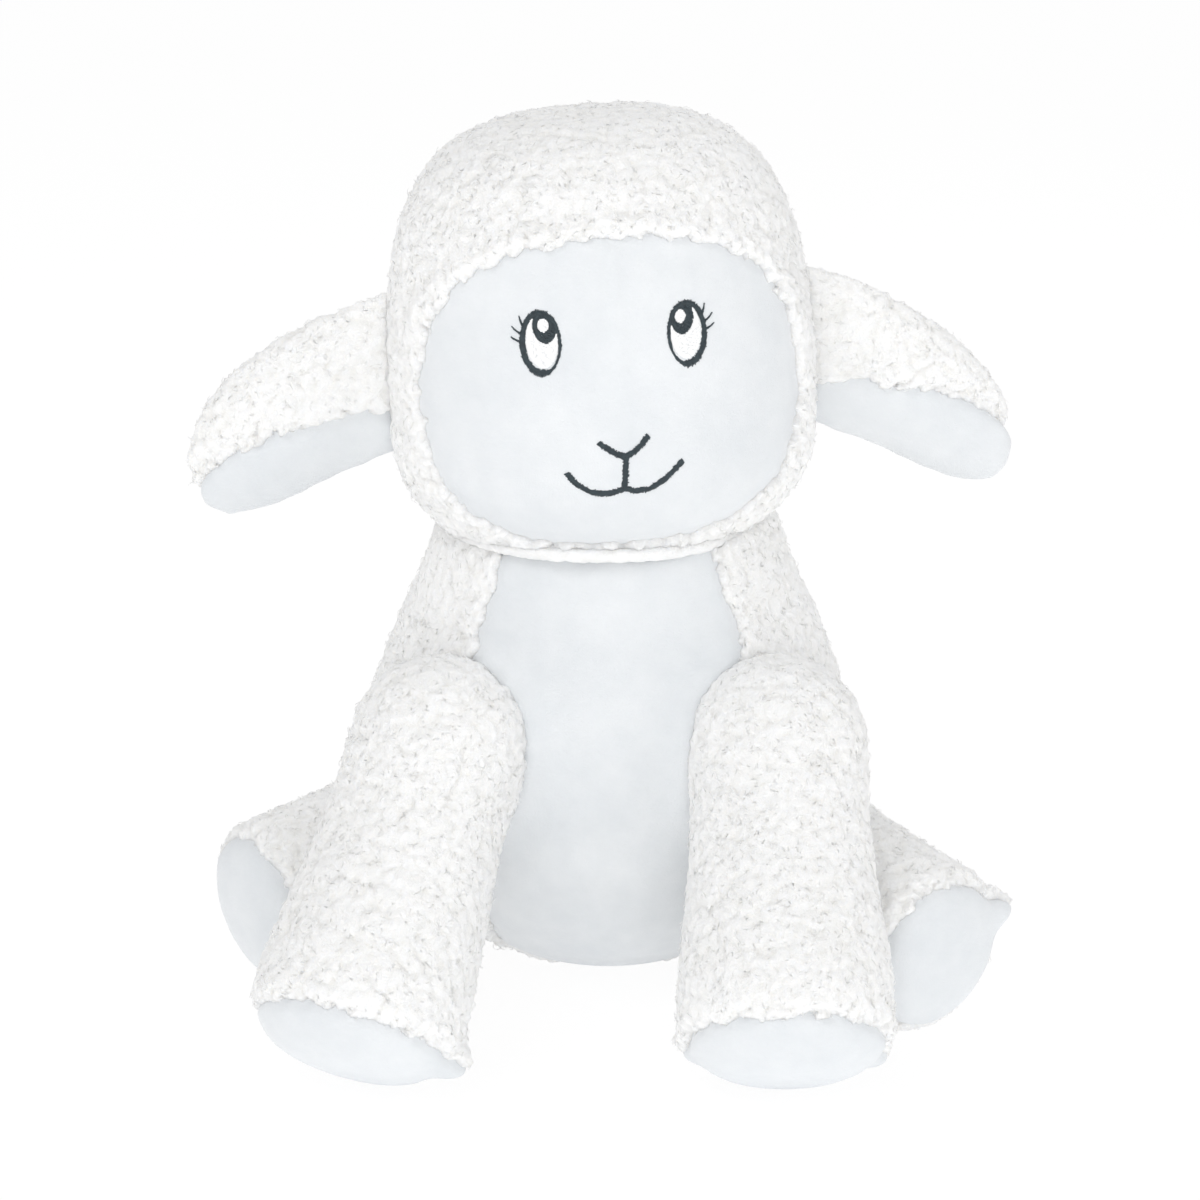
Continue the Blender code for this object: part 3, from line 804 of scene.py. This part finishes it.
for side, centre in eye_spots.items():
    sign = 1 if side == "left" else -1
    line = (eye_size[0] - eye_line, eye_size[1] - eye_line)
    ring = [oval_point(centre, line, math.tau * (step / 72 - 0.25)) for step in range(73)]

    def ring_width(share):
        """The line is thin on the inner side, low down, and thick below and above."""
        return float(np.interp(share if side == "left" else 1 - share, ring_shares, ring_widths))

    bars = across(ring, ring_width)
    for place_deg, lean_deg, reach in zip(lash_places_deg, lash_leans_deg, lash_lengths):
        place, lean = math.radians(place_deg), math.radians(lean_deg)
        root = oval_point(centre, line, place if side == "left" else math.pi - place)
        lash = [root] + [
            (root[0] + sign * math.cos(lean) * reach * along, root[1] + math.sin(lean) * reach * rise)
            for along, rise in ((0.45, 0.30), (0.78, 0.62), (1.0, 1.0))
        ]
        bars += across(lash, lambda share: 0.00085 - 0.0005 * share)
    embroider(f"eye_line_{side}", bars, dark_thread, "dark_thread", f"eye_outline_{side}")

    middle = (centre[0] - sign * eyeball_shift[0], centre[1] + eyeball_shift[1])
    eyeball = in_oval(middle, (line[0] - eyeball_inset[0], line[1] - eyeball_inset[1]))
    spot = (centre[0] - sign * pupil_shift[0], centre[1] + pupil_shift[1])
    pupil = in_oval(spot, pupil_size)
    glint = in_oval((spot[0] + glint_shift[0], spot[1] + glint_shift[1]), glint_size)
    low = (centre[0] - eye_size[0] / 2, centre[1] - eye_size[1] / 2 - 0.001)
    high = (centre[0] + eye_size[0] / 2, centre[1] + eye_size[1] / 2)
    embroider(f"eye_fill_{side}", rows(lambda x, z: eyeball(x, z) and not pupil(x, z), low, high),
              white_thread, "white_thread", f"eye_white_{side}")
    embroider(f"pupil_fill_{side}",
              rows(lambda x, z: eyeball(x, z) and pupil(x, z) and not glint(x, z), low, high),
              dark_thread, "dark_thread", f"pupil_{side}")
    embroider(f"glint_fill_{side}", rows(glint, low, high), white_thread, "white_thread", f"eye_glint_{side}")

# %% Nose and smile
stitch_width = 0.0017
fork = (0.0010, -0.0150)


def path_from(start, *steps):
    """The points that lie these steps away from the start."""
    return [(start[0] + across_mm / 1000, start[1] + up_mm / 1000) for across_mm, up_mm in steps]


nose_left = path_from(fork, (-6.4, 3.7), (-4.5, 2.2), (-2.0, 0.6), (0, 0))
nose_right = path_from(fork, (5.8, 4.6), (4.0, 2.4), (1.8, 0.7), (0, 0))
stem = path_from(fork, (0, 0), (-0.2, -4.0), (-0.6, -7.8))
nose_bars = [one for path in (nose_left, nose_right, stem) for one in across(path, stitch_width)]
embroider("nose", nose_bars, dark_thread, "dark_thread", "nose_embroidery")
smile = path_from(
    stem[-1], (-14.0, 4.0), (-12.0, 1.3), (-8.5, -1.0), (-4.5, -1.6), (-1.5, -1.0), (0, -0.4),
    (2.5, -1.3), (6.0, -1.2), (10.0, 0.8), (14.8, 5.0),
)
embroider("smile", across(smile, stitch_width), dark_thread, "dark_thread", "mouth_embroidery")

# %% [markdown]
# ## Legs
# Each leg is a fleece tube closed by a smooth sole. The seam between them pulls in, and its ends stand out as
# small pinched knobs.

# %% Four legs
sole_pull, sole_pull_reach = 0.0007, 0.0022
knob_width = 0.0040
# Where a knob stands round the sole, in degrees, and how far it reaches out.
knobs = {
    "front_leg_right": [(148, 0.0058)], "front_leg_left": [(20, 0.0030), (150, 0.0058)],
    "hind_leg_right": [], "hind_leg_left": [(200, 0.0058)],
}
for name, axes in leg_axes.items():
    kind = name.split("_")[0]
    seam = leg_seams[kind]

    def past_seam(at):
        return to_local(axes, at)[:, 2] - seam

    leg = stuffed_form(name, [f"{name}_fleece", f"{name}_sole", f"{name}_filling"],
                       lambda at: (np.abs(past_seam(at)) < seam_band) | (to_local(axes, at)[:, 2] < 0))
    at = points_of(leg)
    local = to_local(axes, at)
    pull = np.exp(-(past_seam(at) / sole_pull_reach) ** 2) * -sole_pull
    for turn_deg, reach in knobs[name]:
        turn = math.radians(turn_deg)
        radius = float(np.linalg.norm(local[np.abs(past_seam(at)) < 0.002][:, :2], axis=1).mean())
        knob = np.array((radius * math.cos(turn), radius * math.sin(turn), seam))
        pull += reach * np.exp(-(np.linalg.norm(local - knob, axis=1) / knob_width) ** 2)
    at = at + normals_of(leg) * pull[:, None]
    set_points(leg, at)
    sole_inside = past_seam(at)
    sole = panel_of(leg, f"{name}_pad", sole_inside)
    woolly = fleece_round(leg, sole_inside)
    for piece in (leg, sole):
        at = points_of(piece)
        at[:, 2] = np.maximum(at[:, 2], 0)
        set_points(piece, at)
    wool(f"{name}_wool", leg, woolly & (points_of(leg)[:, 2] > ground_clearance), name)
    finish_piece(leg, fleece, name, "fleece", f"{name}_fleece", f"{name}_filling", fill=0.85)
    finish_piece(sole, pile, name, "short_pile", f"{name}_sole", fill=0.85)

# %% [markdown]
# ## Ears, tail and neck seam
# The ears are lightly stuffed leaves: fleece above, short pile below, with a crease where the two are sewn.

# %% Ears
ear_seam_level = -0.0135
ear_seam_slope, ear_seam_facing = math.radians(-14), math.radians(-46)
ear_seam_band = 0.0022
ear_root_row = 0.002
ear_root_inward = 0.0042
ear_crease, ear_crease_reach = 0.0019, 0.0026
for side, sign in (("right", -1), ("left", 1)):
    joint = joints[f"ear_{side}_flap"]
    up = head_axes.to_3x3() @ Vector((0, 0, 1))
    out = head_axes.to_3x3() @ Vector((sign, 0, 0))
    ear_axes = axes_at(joint["pos_m"], Matrix((up, out.cross(up), out)).transposed().to_4x4())
    seam_turn = Matrix.Rotation(ear_seam_slope, 4, "Y") @ Matrix.Rotation(sign * ear_seam_facing, 4, "Z")
    seam_axes = ear_axes @ Matrix.Translation((ear_seam_level, 0, 0)) @ seam_turn

    def below_seam(at):
        return -to_local(seam_axes, at)[:, 0]

    def held_by_ear_seams(at):
        return (np.abs(below_seam(at)) < ear_seam_band) | (to_local(ear_axes, at)[:, 2] < ear_root_row)

    ear = stuffed_form(
        f"ear_{side}", [f"ear_fleece_{side}", f"ear_lining_{side}"], held_by_ear_seams, cap=0.0012)
    at = points_of(ear)
    local = to_local(ear_axes, at)
    outward = np.array(out)
    at = at - outward * (ear_root_inward * (1 - ramp(local[:, 2], 0.0, 0.014)))[:, None]
    crease = np.exp(-(below_seam(at) / ear_crease_reach) ** 2) * ramp(local[:, 2], 0.010, 0.045)
    at = at - normals_of(ear) * (crease * ear_crease)[:, None]
    set_points(ear, at)
    lining_inside = below_seam(at)
    lining = panel_of(ear, f"ear_inner_{side}", lining_inside, thickness=0.0007)
    woolly = fleece_round(ear, lining_inside)
    wool(f"ear_wool_{side}", ear, woolly, f"ear_{side}")
    finish_piece(ear, fleece, f"ear_{side}", "fleece", f"ear_fleece_{side}", fill=0.5)
    finish_piece(lining, pile, f"ear_{side}", "short_pile", f"ear_lining_{side}", fill=0.5)

# %% Tail
tail_root_row = 0.050
tail = stuffed_form("tail", ["tail_fleece"], lambda at: at[:, 1] < tail_root_row)
whole_tail = np.ones(len(tail.data.vertices))
raise_curls(tail, whole_tail)
wool("tail_wool", tail, whole_tail > 0, "tail")
finish_piece(tail, fleece, "tail", "fleece", "tail_fleece", fill=0.7)

# %% Neck seam
bpy.ops.object.select_all(action="DESELECT")
gather_level, gather_radius, gather_thickness = 0.1250, 0.0398, 0.0034
neck_place = Vector(joints["head_turn"]["pos_m"])
bpy.ops.mesh.primitive_torus_add(
    location=(neck_place.x, neck_place.y, gather_level), major_radius=gather_radius,
    minor_radius=gather_thickness / 2, major_segments=300, minor_segments=20,
)
gather = bpy.context.active_object
gather.name = gather.data.name = "neck_gather"
bpy.ops.object.transform_apply(location=True)
raise_curls(gather, np.full(len(gather.data.vertices), 0.5))
finish_piece(gather, fleece, "neck", "fleece", "neck_seam")

# %% [markdown]
# ## Finish

# %% View transform and end
bpy.context.scene.view_settings.view_transform = "Standard"
